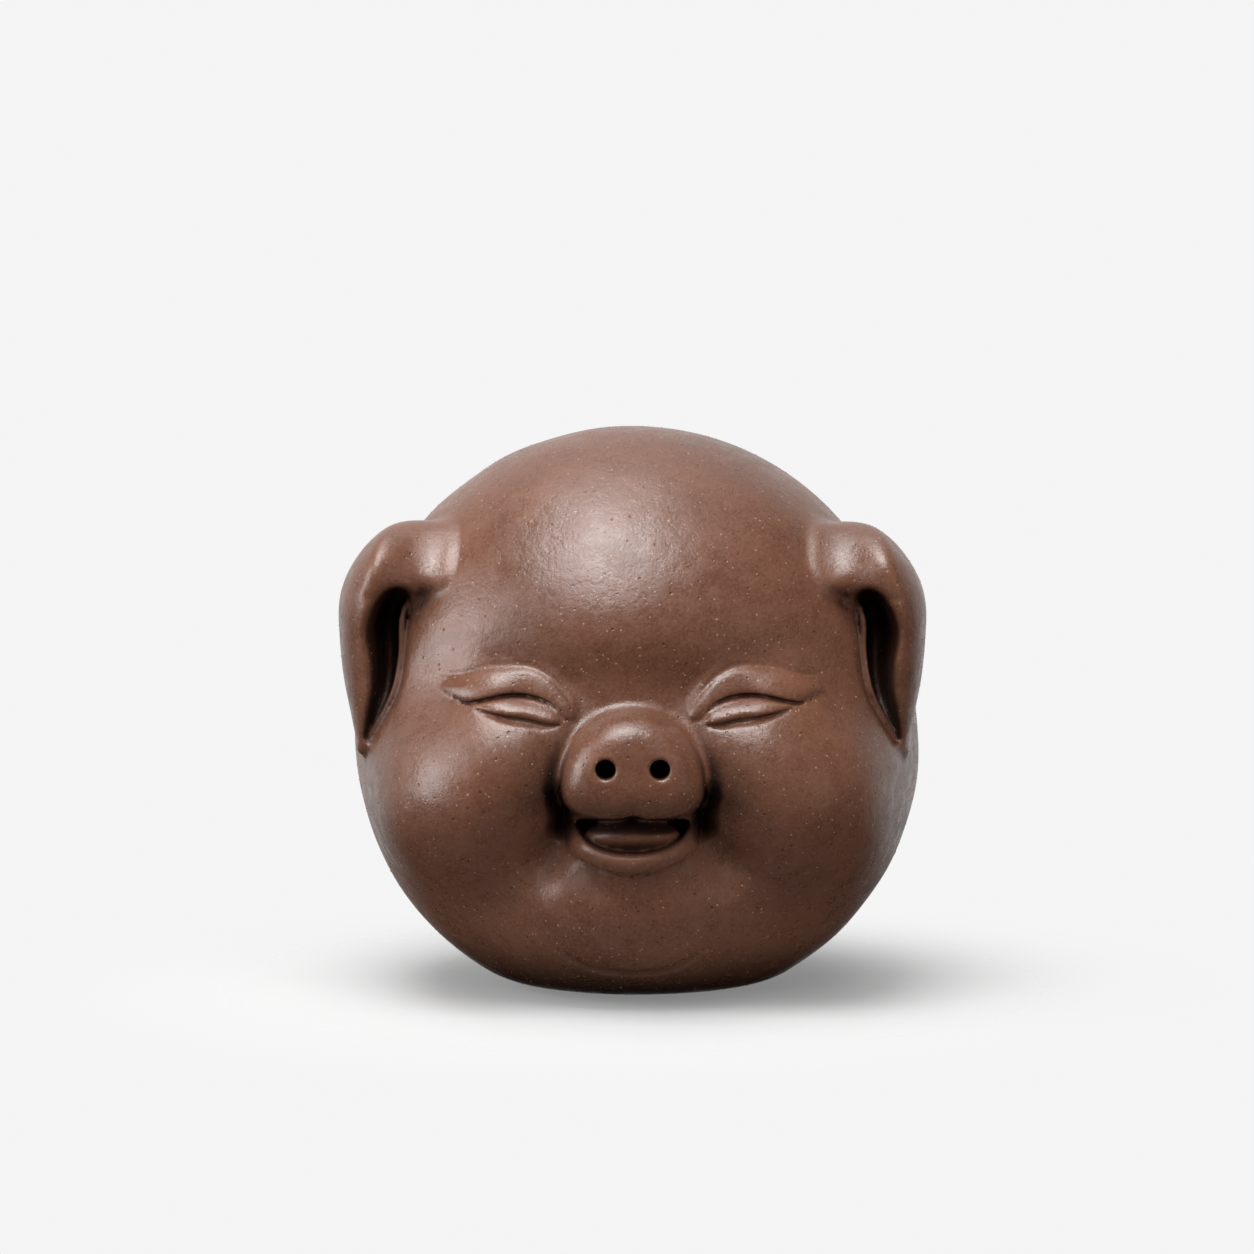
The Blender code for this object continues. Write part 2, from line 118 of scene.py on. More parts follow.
def smooth_line(points: tuple[tuple[float, ...], ...], steps: int = 6) -> Array:
    """Draws a smooth curve through points.

    Args:
        points: The points that the curve passes through.
        steps: Pieces between one point and the next.

    Returns:
        Points along the curve, one to a row.
    """
    p = np.array(points, float)
    p = np.vstack([2 * p[0] - p[1], p, 2 * p[-1] - p[-2]])
    t = np.linspace(0, 1, steps, endpoint=False)[:, None]
    spans = [
        0.5 * (2 * b + (c - a) * t + (2 * a - 5 * b + 4 * c - d) * t**2 + (3 * b - a - 3 * c + d) * t**3)
        for a, b, c, d in zip(p, p[1:], p[2:], p[3:])
    ]
    return np.vstack([*spans, p[-2:-1]])


@dataclass(frozen=True)
class Ball:
    """An ellipsoid of clay, by its centre and its full width, depth and height."""

    centre: Triple
    size: Triple

    def reach(self, at: Place) -> Array:
        """Gives the distance to the ball's skin.

        Args:
            at: Where the form is read.

        Returns:
            Distances, below zero inside.
        """
        x, y, z = at
        rx, ry, rz = (side / 2 for side in self.size)
        ux, uy, uz = (x - self.centre[0]) / rx, (y - self.centre[1]) / ry, (z - self.centre[2]) / rz
        far = np.sqrt(ux * ux + uy * uy + uz * uz) + 1e-9
        slope = np.sqrt((ux / rx) ** 2 + (uy / ry) ** 2 + (uz / rz) ** 2) + 1e-9
        return far * (far - 1) / slope


@dataclass(frozen=True)
class Rope:
    """A rolled rope of clay of changing radius, each station (x, y, z, radius), drawn out along Y."""

    stations: tuple[tuple[float, float, float, float], ...]
    lengthening: float = 1.0

    def reach(self, at: Place) -> Array:
        """Gives the distance to the rope's skin.

        Args:
            at: Where the form is read.

        Returns:
            Distances, below zero inside.
        """
        x, y, z = at
        line = smooth_line(self.stations)
        line[:, 1] /= self.lengthening
        y = y / self.lengthening
        nearest = np.full(x.shape, np.inf)
        for (ax, ay, az, ar), (bx, by, bz, br) in zip(line, line[1:]):
            ex, ey, ez = bx - ax, by - ay, bz - az
            t = ((x - ax) * ex + (y - ay) * ey + (z - az) * ez) / (ex * ex + ey * ey + ez * ez)
            t = np.clip(t, 0, 1)
            away = np.sqrt((x - ax - t * ex) ** 2 + (y - ay - t * ey) ** 2 + (z - az - t * ez) ** 2)
            nearest = np.minimum(nearest, away - ar - t * (br - ar))
        return nearest


@dataclass(frozen=True)
class Stroke:
    """A tool stroke on the face, seen from the front as (x, z).

    Attributes:
        points: The points that the stroke passes through.
        half_width: Half its width.
        height: How far it raises the skin; below zero it presses in.
        flat: How flat its top is.
        taper: Which of its ends run out.
        pointed: Whether it also narrows as it runs out.
        run_out: How many times the length of a tapered end the whole stroke is.
    """

    points: tuple[tuple[float, float], ...]
    half_width: float
    height: float
    flat: float = 1.0
    taper: Taper = Taper.BOTH
    pointed: bool = True
    run_out: float = 3.0

    def height_at(self, x: Array, z: Array) -> Array:
        """Gives how far the stroke raises the skin.

        Args:
            x: Places along X.
            z: Places along Z.

        Returns:
            Heights in metres.
        """
        line = smooth_line(self.points)
        low, high = line.min(0) - self.half_width, line.max(0) + self.half_width
        near = (x > low[0]) & (x < high[0]) & (z > low[1]) & (z < high[1])
        px, pz = x[near], z[near]
        away = np.full(px.shape, np.inf)
        along = np.zeros(px.shape)
        for i, ((ax, az), (bx, bz)) in enumerate(zip(line, line[1:])):
            ex, ez = bx - ax, bz - az
            t = np.clip(((px - ax) * ex + (pz - az) * ez) / (ex * ex + ez * ez), 0, 1)
            d = np.hypot(px - ax - t * ex, pz - az - t * ez)
            closer = d < away
            away = np.where(closer, d, away)
            along = np.where(closer, (i + t) / (len(line) - 1), along)
        narrow = np.ones(px.shape)
        at_start, at_end = self.taper.value
        if at_start:
            narrow *= np.clip(along * self.run_out, 0, 1)
        if at_end:
            narrow *= np.clip((1 - along) * self.run_out, 0, 1)
        narrow = np.sqrt(narrow) if self.pointed else narrow * narrow * (3 - 2 * narrow)
        width = self.half_width * (narrow if self.pointed else 1) + 1e-6
        share = np.clip(1 - (away / width) ** (2 * self.flat), 0, 1)
        raised = np.zeros(x.shape)
        raised[near] = self.height * narrow * share * share
        return raised


@dataclass(frozen=True)
class HeadBall:
    """The ball of the head: an upper ball for the skull and a lower one for the jowls."""

    skull: Ball = Ball((0.0, 0.0, 0.0338), (0.0664, 0.0630, 0.0664))
    jowls: Ball = Ball((0.0007, 0.0, 0.0285), (0.0673, 0.0620, 0.0636))
    seam: float = 0.0015
    unevenness: float = 0.00004
    ripple_x: float = 410.0
    ripple_y: float = 370.0
    ripple_y_start: float = 1.3
    bend: float = 3.0
    bend_z: float = 190.0
    slant_x: float = 290.0
    slant_z: float = 520.0
    slant_start: float = 0.7

    def model(self, at: Place) -> Array:
        """Shapes the ball, with the faint unevenness of handwork.

        Args:
            at: Where the form is read.

        Returns:
            Distances to the ball.
        """
        x, y, z = at
        form = joined(self.skull.reach(at), self.jowls.reach(at), self.seam)
        ripple = np.sin(self.ripple_x * x + self.bend * np.sin(self.bend_z * z))
        ripple = ripple * np.sin(self.ripple_y * y + self.ripple_y_start)
        slant = np.sin(self.slant_z * z + self.slant_x * x + self.slant_start)
        return form + self.unevenness * (ripple + slant)


@dataclass(frozen=True)
class Cheeks:
    """Puffed cheeks that bulge over a bay beside the mouth."""

    bulge: Rope = Rope(
        (
            (0.0105, -0.0232, 0.0310, 0.0056), (0.0140, -0.0210, 0.0292, 0.0082),
            (0.0178, -0.0190, 0.0258, 0.0096), (0.0192, -0.0178, 0.0248, 0.0096),
        ),
        1.35,
    )
    inner_seam: float = 0.0040
    outer_seam: float = 0.0080
    bay_z: float = 0.0240
    bay_height: float = 0.0085
    bay_width: float = 0.0108
    bay_depth: float = 0.0038

    def model(self, at: Place, form: Array) -> Array:
        """Sets the middle of the face back and adds the cheeks.

        Args:
            at: Where the form is read.
            form: Distances to the clay so far.

        Returns:
            Distances to the clay with cheeks.
        """
        x, y, z = at
        bay = np.exp(-(((z - self.bay_z) / self.bay_height) ** 4) - (x / self.bay_width) ** 4)
        form = form + np.where(y < 0, self.bay_depth * bay, 0)
        inner, outer = self.bulge.stations[0][0], self.bulge.stations[-1][0]
        outwards = np.clip((x - inner) / (outer - inner), 0, 1)
        softer = outwards * outwards * (3 - 2 * outwards)
        seam = self.inner_seam + (self.outer_seam - self.inner_seam) * softer
        return joined(form, self.bulge.reach(at), seam)


@dataclass(frozen=True)
class Eyes:
    """Shut smiling eyes in a dip under the brow."""

    dip_z: float = 0.0375
    dip_height: float = 0.0055
    dip_width: float = 0.0210
    dip_depth: float = 0.0024
    upper_lid: Stroke = Stroke(
        (
            (0.0222, 0.0380), (0.0190, 0.0381), (0.0160, 0.0387), (0.0130, 0.0391), (0.0100, 0.0383),
            (0.0078, 0.0366), (0.0067, 0.0348),
        ),
        0.0028, 0.0009, 1.1,
    )
    upper_crease: Stroke = Stroke(
        (
            (0.0225, 0.0395), (0.0203, 0.0395), (0.0182, 0.03995), (0.0166, 0.0405), (0.0143, 0.04075),
            (0.0122, 0.0408), (0.0106, 0.0403), (0.0090, 0.0391), (0.0074, 0.0372), (0.0064, 0.0352),
        ),
        0.0007, -0.0003,
    )
    lower_lid: Stroke = Stroke(
        (
            (0.0185, 0.0362), (0.0155, 0.0361), (0.0125, 0.0359), (0.0095, 0.0351), (0.0082, 0.0344),
        ),
        0.0011, 0.0006, 1.5,
    )
    slit: Stroke = Stroke(
        (
            (0.0212, 0.0371), (0.0198, 0.0365), (0.0184, 0.0365), (0.0154, 0.03725), (0.0136, 0.03745),
            (0.0118, 0.0373), (0.0102, 0.03685), (0.0090, 0.0361), (0.0078, 0.0346),
        ),
        0.0004, -0.0006,
    )
    lower_crease: Stroke = Stroke(
        (
            (0.0187, 0.0362), (0.0170, 0.0355), (0.0140, 0.0347), (0.0120, 0.03445), (0.0100, 0.03405),
            (0.0083, 0.0342),
        ),
        0.0006, -0.0003,
    )

    def strokes(self) -> tuple[Stroke, ...]:
        """Lists the strokes in the order in which they are made."""
        return self.upper_lid, self.upper_crease, self.lower_lid, self.slit, self.lower_crease

    def dip(self, at: Place, form: Array) -> Array:
        """Presses in the band that the eyes lie in."""
        x, y, z = at
        band = np.exp(-(((z - self.dip_z) / self.dip_height) ** 2) - (x / self.dip_width) ** 4)
        return form + np.where(y < 0, self.dip_depth * band, 0)


@dataclass(frozen=True)
class Mouth:
    """The chin, the mound under the snout, the laughing opening in it, its tongue and its lower lip."""

    muzzle: Ball = Ball((0.0, -0.0190, 0.0215), (0.0172, 0.0258, 0.0160))
    muzzle_seam: float = 0.0025
    chin: Ball = Ball((0.0, -0.0160, 0.0125), (0.0300, 0.0250, 0.0190))
    chin_seam: float = 0.0050
    opening_z: float = 0.0236
    half_width: float = 0.0070
    drop: float = 0.0041
    rise: float = 0.0016
    back_y: float = -0.0235
    edge: float = 0.0006
    tongue: Ball = Ball((0.0, -0.0272, 0.0213), (0.0104, 0.0078, 0.0033))
    cheek_fold: Stroke = Stroke(
        (
            (0.0096, 0.0272), (0.0092, 0.0248), (0.0091, 0.0222), (0.0097, 0.0203), (0.0108, 0.0184),
            (0.0120, 0.0163), (0.0136, 0.0146),
        ),
        0.0044, -0.0012, pointed=False,
    )
    corner: Stroke = Stroke(
        (
            (0.0082, 0.0282), (0.0080, 0.0255), (0.0078, 0.0225), (0.0086, 0.0198),
        ),
        0.0024, -0.0028, pointed=False,
    )
    lower_lip: Stroke = Stroke(
        (
            (0.0074, 0.0240), (0.0065, 0.0210), (0.0048, 0.0194), (0.0026, 0.0187), (0.0, 0.0184),
        ),
        0.0018, 0.0016, 1.5, Taper.START,
    )
    lip_line: Stroke = Stroke(
        (
            (0.0072, 0.0205), (0.0061, 0.0186), (0.0047, 0.0179), (0.0031, 0.0173), (0.0, 0.0168),
        ),
        0.0004, -0.0005, 1.0, Taper.START,
    )
    chin_line: Stroke = Stroke(
        (
            (0.0080, 0.0074), (0.0046, 0.0052), (0.0, 0.0045),
        ),
        0.0006, -0.0004, 1.0, Taper.START,
    )

    def strokes(self) -> tuple[Stroke, ...]:
        """Lists the strokes in the order in which they are made."""
        return self.cheek_fold, self.corner, self.lower_lip, self.lip_line, self.chin_line

    def mounds(self, at: Place, form: Array) -> Array:
        """Adds the chin and the muzzle."""
        form = joined(form, self.chin.reach(at), self.chin_seam)
        return joined(form, self.muzzle.reach(at), self.muzzle_seam)

    def open(self, at: Place, form: Array) -> Array:
        """Cuts the mouth open and lays the tongue in it.

        Args:
            at: Where the form is read.
            form: Distances to the clay so far.

        Returns:
            Distances to the clay with the open mouth.
        """
        x, y, z = at
        drop = (z - self.opening_z) / np.where(z < self.opening_z, self.drop, self.rise)
        opening = (np.hypot(x / self.half_width, drop) - 1) * self.rise
        form = cut(form, np.maximum(opening, y - self.back_y), self.edge)
        return joined(form, self.tongue.reach(at), self.edge)


@dataclass(frozen=True)
class Snout:
    """A block with a round face, flat below, pierced by two nostrils."""

    face_y: float = -0.0370
    root_y: float = -0.0240
    radius: float = 0.0074
    centre_z: float = 0.0277
    bottom_z: float = 0.0243
    corner_round: float = 0.0036
    notch_height: float = 0.0004
    notch_width: float = 0.0010
    flare: float = 0.13
    dome: float = 0.0007
    edge: float = 0.0016
    seam: float = 0.0012
    nostril_radius: float = 0.00115
    nostril_x: float = 0.0031
    nostril_z: float = 0.0298
    nostril_back_y: float = -0.0180
    nostril_edge: float = 0.0004

    def outline(self, x: Array, z: Array) -> Array:
        """Gives the distance in the face to its outline.

        Args:
            x: Places away from the middle of the face.
            z: Places along Z.

        Returns:
            Distances, below zero inside the outline.
        """
        circle = np.hypot(x, z - self.centre_z) - self.radius
        notch = self.notch_height * np.exp(-((x / self.notch_width) ** 2))
        return -joined(-circle, z - self.bottom_z - notch, self.corner_round)

    def model(self, at: Place, form: Array) -> Array:
        """Adds the block of the snout.

        Args:
            at: Where the form is read.
            form: Distances to the clay so far.

        Returns:
            Distances to the clay with the snout.
        """
        x, y, z = at
        outline = self.outline(x, z) - self.flare * (y - self.face_y)
        dome = self.face_y + self.dome * (x * x + (z - self.centre_z) ** 2) / self.radius**2 - y
        block = -joined(-outline, -dome, self.edge * 2)
        return joined(form, np.maximum(block, y - self.root_y), self.seam)

    def pierce(self, at: Place, form: Array) -> Array:
        """Pierces the nostrils through to the hollow."""
        x, y, z = at
        nostril = np.hypot(x - self.nostril_x, z - self.nostril_z) - self.nostril_radius
        return cut(form, np.maximum(nostril, y - self.nostril_back_y), self.nostril_edge)


@dataclass(frozen=True)
class Ears:
    """Drooping ears, each rolled from its root to its tip, with a rim, a cup and a thin line down the cup."""

    roll: Rope = Rope(
        (
            (0.0225, -0.0160, 0.0530, 0.0046), (0.0258, -0.0130, 0.0522, 0.0046),
            (0.0282, -0.0118, 0.0502, 0.0046), (0.0299, -0.0106, 0.0470, 0.0046),
            (0.0302, -0.0098, 0.0430, 0.0044), (0.0302, -0.0094, 0.0385, 0.0040),
            (0.0304, -0.0102, 0.0345, 0.0030), (0.0312, -0.0112, 0.0310, 0.0015),
            (0.0318, -0.0115, 0.0297, 0.0008),
        ),
        2.1,
    )
    roll_seam: float = 0.0010
    root_x: float = 0.0206
    root_z: float = 0.0540
    root_bow: float = 0.0016
    root_height: float = 0.0060
    root_step: float = 0.0005
    root_slope: float = 0.30
    root_bend: float = 60.0
    root_edge: float = 0.0012
    root_blend: float = 0.0020
    drop: float = 0.0002
    rim: Rope = Rope(
        (
            (0.0232, -0.0230, 0.0468, 0.0024), (0.0262, -0.0222, 0.0473, 0.0030),
            (0.0281, -0.0213, 0.0449, 0.0032), (0.0286, -0.0203, 0.0420, 0.0021),
            (0.0289, -0.0192, 0.0395, 0.0014),
        )
    )
    rim_edge: float = 0.0005
    cup: Rope = Rope(
        (
            (0.0266, -0.0196, 0.0478, 0.0010), (0.0278, -0.0196, 0.0470, 0.0020),
            (0.0287, -0.0190, 0.0440, 0.0024), (0.0286, -0.0182, 0.0405, 0.0020),
            (0.0289, -0.0172, 0.0370, 0.0015), (0.0299, -0.0168, 0.0340, 0.0010),
            (0.0309, -0.0156, 0.0312, 0.0005),
        ),
        3.6,
    )
    cup_edge: float = 0.0008
    ridge: Rope = Rope(
        (
            (0.0262, -0.0152, 0.0478, 0.0002), (0.0269, -0.0158, 0.0455, 0.0004),
            (0.0270, -0.0158, 0.0420, 0.0004), (0.0272, -0.0160, 0.0400, 0.0004),
            (0.0277, -0.0162, 0.0374, 0.0004), (0.0287, -0.0156, 0.0350, 0.0004),
            (0.0300, -0.0145, 0.0326, 0.0004), (0.0312, -0.0128, 0.0303, 0.0003),
        )
    )
    ridge_seam: float = 0.0004

    def model(self, at: Place, form: Array) -> Array:
        """Adds the ears and cups them.

        Args:
            at: Where the form is read.
            form: Distances to the clay so far.

        Returns:
            Distances to the clay with ears.
        """
        x, y, z = at
        bow = np.minimum(((z - self.root_z) / self.root_height) ** 2, 1)
        outwards = x - self.root_x - self.root_bow * bow
        lift = self.root_step + self.root_slope * outwards + self.root_bend * outwards * outwards
        roll = cut(self.roll.reach(at), lift - form, self.root_blend)
        roll = cut(roll, outwards, self.root_edge)
        form = joined(form, roll, self.roll_seam)
        form = cut(form, self.rim.reach(at), self.rim_edge)
        form = cut(form, self.cup.reach(at), self.cup_edge)
        return joined(form, self.ridge.reach(at), self.ridge_seam)


@dataclass(frozen=True)
class Foot:
    """The flat foot, the ball-shaped hollow inside the head and the round vent under it."""

    edge: float = 0.0022
    hollow: Ball = Ball((0.0, 0.0030, 0.0325), (0.0540, 0.0460, 0.0540))
    vent_radius: float = 0.0045
    vent_edge: float = 0.0008

    def flatten(self, z: Array, form: Array) -> Array:
        """Trims the clay to a flat foot with a soft edge."""
        return -joined(-form, z, self.edge)

    def empty(self, at: Place, form: Array) -> Array:
        """Takes out the hollow and the vent.

        Args:
            at: Where the form is read.
            form: Distances to the clay so far.

        Returns:
            Distances to the hollow clay.
        """
        x, y, z = at
        vent = np.maximum(np.hypot(x, y) - self.vent_radius, z - self.hollow.centre[2])
        return cut(form, np.minimum(self.hollow.reach(at), vent), self.vent_edge)


@dataclass(frozen=True)
class PigHead:
    """The whole head, built up in the order in which it would be modelled by hand."""

    ball: HeadBall = HeadBall()
    cheeks: Cheeks = Cheeks()
    eyes: Eyes = Eyes()
    mouth: Mouth = Mouth()
    snout: Snout = Snout()
    ears: Ears = Ears()
    foot: Foot = Foot()
    middle_round: float = 0.0003

    def clay(self, at: Place) -> Array:
        """Gives the whole clay form.

        Args:
            at: Where the form is read.

        Returns:
            Distances to the clay, below zero inside it.
        """
        x, y, z = at
        form = self.ball.model(at)
        half = Place(np.hypot(x, self.middle_round), y, z)
        form = self.eyes.dip(half, form)
        form = self.cheeks.model(half, form)
        form = self.mouth.mounds(half, form)
        form = self.stroked(half, form)
        form = self.mouth.open(half, form)
        form = self.snout.model(half, form)
        form = self.ears.model(half._replace(z=z + self.ears.drop * (x > 0)), form)
        form = self.foot.flatten(z, form)
        form = self.snout.pierce(half, form)
        return self.foot.empty(at, form)

    def stroked(self, at: Place, form: Array) -> Array:
        """Raises and presses the face with the modelling tool.

        Args:
            at: Where the form is read.
            form: Distances to the clay so far.

        Returns:
            Distances to the clay with its eyes, folds and lip.
        """
        x, y, z = at
        front = y < 0
        raised = np.zeros(x.shape)
        fx, fz = x[front], z[front]
        raised[front] = sum(s.height_at(fx, fz) for s in (*self.eyes.strokes(), *self.mouth.strokes()))
        return form - raised


@dataclass(frozen=True)
class ClaySkin:
    """Meshes a clay form: one point in each grid cell that the skin crosses, then moved onto the skin."""

    low: Triple
    high: Triple
    step: float = 0.00033
    block: int = 4
    rounds: int = 2
    fill_parts: float = 50.0
    probe_parts: float = 20.0
    least_slope: float = 0.05

    def grid(self, form: Field) -> Array:
        """Reads the form on the grid, exactly near the skin and roughly elsewhere.

        Args:
            form: The clay form.

        Returns:
            The form's value at each grid point.
        """
        axes = [np.arange(a, b, self.step) for a, b in zip(self.low, self.high)]
        middles = [axis[:: self.block] + self.step * (self.block - 1) / 2 for axis in axes]
        values = form(Place(*(g.ravel() for g in np.meshgrid(*middles, indexing="ij"))))
        values = values.reshape([len(middle) for middle in middles])
        for way, axis in enumerate(axes):
            values = np.repeat(values, self.block, way).take(range(len(axis)), way)
        near = np.abs(values) < (self.block + 1) * self.step
        spots = np.argwhere(near)
        values[near] = form(Place(*(axis[spot] for axis, spot in zip(axes, spots.T))))
        return values

    def without_touching_sheets(self, values: Array) -> Array:
        """Fills corners where two sheets of the skin would share one edge or point.

        Args:
            values: The form's value at each grid point.

        Returns:
            The values with those corners filled.
        """
        values = values.copy()
        nx, ny, nz = (side - 1 for side in values.shape)
        while True:
            inside = values < 0
            fill = np.zeros(values.shape, bool)
            for u, v in ((0, 1), (1, 2), (2, 0)):
                start, both = [slice(None)] * 3, [slice(None)] * 3
                start[u] = start[v] = slice(None, -1)
                both[u] = both[v] = slice(1, None)
                step_u, step_v = list(start), list(start)
                step_u[u] = slice(1, None)
                step_v[v] = slice(1, None)
                ring = [tuple(corner) for corner in (start, step_u, both, step_v)]
                a, b, c, d = (inside[corner] for corner in ring)
                crossed = (a == c) & (b == d) & (a != b)
                for corner in ring:
                    fill[corner] |= crossed
            cube = [(i, j, k) for i in (0, 1) for j in (0, 1) for k in (0, 1)]
            corners = [(slice(i, nx + i), slice(j, ny + j), slice(k, nz + k)) for i, j, k in cube]
            count = sum(inside[corner].astype(np.int8) for corner in corners)
            for low, high in zip(corners[:4], corners[:3:-1]):
                apart = (inside[low] == inside[high]) & (count == np.where(inside[low], 2, 6))
                for corner in corners:
                    fill[corner] |= apart
            fill &= ~inside
            if not fill.any():
                return values
            values[fill] = -self.step / self.fill_parts

    def points_and_quads(self, form: Field) -> tuple[Array, Array]:
        """Lays the skin over the form.

        Args:
            form: The clay form.

        Returns:
            The points, one to a row, and the quads between them, facing out of the clay.
        """
        values = self.without_touching_sheets(self.grid(form))
        inside = values < 0
        nx, ny, nz = (side - 1 for side in values.shape)
        corners = [(i, j, k) for i in (0, 1) for j in (0, 1) for k in (0, 1)]
        filled = sum(inside[i : nx + i, j : ny + j, k : nz + k].astype(np.int8) for i, j, k in corners)
        crossed = (filled > 0) & (filled < 8)
        cells = np.argwhere(crossed)
        number = np.full(crossed.shape, -1)
        number[crossed] = np.arange(len(cells))
        points = self.crossings(values, cells)
        return self.settled(points, form), self.quads_between(inside, number)

    def crossings(self, values: Array, cells: Array) -> Array:
        """Puts one point in each crossed cell, in the middle of where the skin cuts the cell's edges.

        Args:
            values: The form's value at each grid point.
            cells: The crossed cells, one to a row.

        Returns:
            The points, one to a row.
        """
        total, hits = np.zeros((len(cells), 3)), np.zeros(len(cells))
        for axis in range(3):
            u, v = (axis + 1) % 3, (axis + 2) % 3
            for du, dv in ((0, 0), (1, 0), (0, 1), (1, 1)):
                corner = np.zeros(3, int)
                corner[u], corner[v] = du, dv
                start = cells + corner
                end = start.copy()
                end[:, axis] += 1
                a, b = values[tuple(start.T)], values[tuple(end.T)]
                crosses = (a < 0) != (b < 0)
                point = np.tile(corner.astype(float), (len(cells), 1))
                point[:, axis] += np.where(crosses, a / np.where(crosses, a - b, 1), 0)
                total += point * crosses[:, None]
                hits += crosses
        return np.array(self.low) + self.step * (cells + total / hits[:, None])

    def quads_between(self, inside: Array, number: Array) -> Array:
        """Joins the points of the four cells round each crossed grid edge.

        Args:
            inside: Which grid points lie in the clay.
            number: The number of each cell's point.

        Returns:
            The quads, one to a row.
        """
        quads = []
        for axis in range(3):
            first, second = [slice(None)] * 3, [slice(None)] * 3
            first[axis], second[axis] = slice(None, -1), slice(1, None)
            a, b = inside[tuple(first)], inside[tuple(second)]
            u, v = (axis + 1) % 3, (axis + 2) % 3
            edges = np.argwhere(a != b)
            outward = a[tuple(edges.T)]
            ring = []
            for du, dv in ((0, 0), (1, 0), (1, 1), (0, 1)):
                cell = edges.copy()
                cell[:, u] -= du
                cell[:, v] -= dv
                ring.append(number[tuple(cell.T)])
            ring = np.stack(ring, 1)
            quads.append(np.where(outward[:, None], ring, ring[:, ::-1]))
        return np.vstack(quads)

    def settled(self, points: Array, form: Field) -> Array:
        """Moves points onto the skin.

        Args:
            points: The points, one to a row.
            form: The clay form.

        Returns:
            The moved points.
        """
        small = self.step / self.probe_parts
        for _ in range(self.rounds):
            value = form(Place(*points.T))
            probes = [form(Place(*(points + small * way).T)) for way in np.eye(3)]
            slope = np.stack([(probe - value) / small for probe in probes], 1)
            move = slope * (value / np.maximum((slope**2).sum(1), self.least_slope))[:, None]
            far = np.linalg.norm(move, axis=1)
            points = points - move * (np.minimum(far, self.step / 2) / (far + 1e-12))[:, None]
        return points


@dataclass(frozen=True)
class SkinMarks:
    """Marks each point of the skin with how deep it lies in a crease, how exposed it is, and if it shows."""

    crease_depths: tuple[float, ...] = (0.0016, 0.0032, 0.0060)
    crease_shares: tuple[float, ...] = (0.2, 0.4, 0.4)
    edge_depth: float = 0.0010
    wall_start: float = 0.0010

    def put_on(self, mesh: bpy.types.Mesh, form: Field, hollow: Ball, shift: Array) -> None:
        """Writes the marks to the mesh as point attributes.

        Args:
            mesh: The finished mesh.
            form: The clay form.
            hollow: The hollow inside the head.
            shift: How far the mesh was moved from the form.
        """
        count = len(mesh.vertices)
        points, normals = np.empty(count * 3), np.empty(count * 3)
        mesh.vertices.foreach_get("co", points)
        mesh.vertex_normals.foreach_get("vector", normals)
        points, normals = points.reshape(-1, 3) + shift, normals.reshape(-1, 3)
        recess = np.zeros(count)
        for depth, share in zip(self.crease_depths, self.crease_shares):
            recess += share * np.clip(1 - form(Place(*(points + normals * depth).T)) / depth, 0, 1)
        within = Place(*(points - normals * self.edge_depth).T)
        wear = np.clip(1 + form(within) / self.edge_depth, 0, 1)
        outer = np.clip(hollow.reach(Place(*points.T)) / self.wall_start, 0, 1)
        for name, values in (("recess", recess), ("wear", wear), ("outer", outer)):
            mark = mesh.attributes.new(name, "FLOAT", "POINT")
            mark.data.foreach_set("value", values.astype(np.float32))


@dataclass(frozen=True)
class Ramp:
    """A smooth ramp from a low result at the start to a high one at the end, and level beyond them."""

    start: float
    end: float
    low: float = 0.0
    high: float = 1.0


def wired(tree: bpy.types.NodeTree, kind: str, inputs: dict, **settings: object) -> bpy.types.Node:
    """Adds a node to a tree.

    Args:
        tree: The tree.
        kind: The node's type.
        inputs: Sockets or values for its inputs, by name or number.
        settings: The node's own settings.

    Returns:
        The node.
    """
    node = tree.nodes.new(kind)
    for name, value in settings.items():
        setattr(node, name, value)
    for name, value in inputs.items():
        if isinstance(value, bpy.types.NodeSocket):
            tree.links.new(value, node.inputs[name])
        else:
            node.inputs[name].default_value = value
    return node


def ramped(tree: bpy.types.NodeTree, value: bpy.types.NodeSocket, ramp: Ramp) -> bpy.types.NodeSocket:
    """Maps a value along a ramp.

    Args:
        tree: The tree of nodes.
        value: The socket to map.
        ramp: The ramp.

    Returns:
        The mapped socket.
    """
    inputs = {"Value": value, "From Min": ramp.start, "From Max": ramp.end, "To Min": ramp.low}
    inputs["To Max"] = ramp.high
    return wired(tree, "ShaderNodeMapRange", inputs, interpolation_type="SMOOTHSTEP").outputs["Result"]


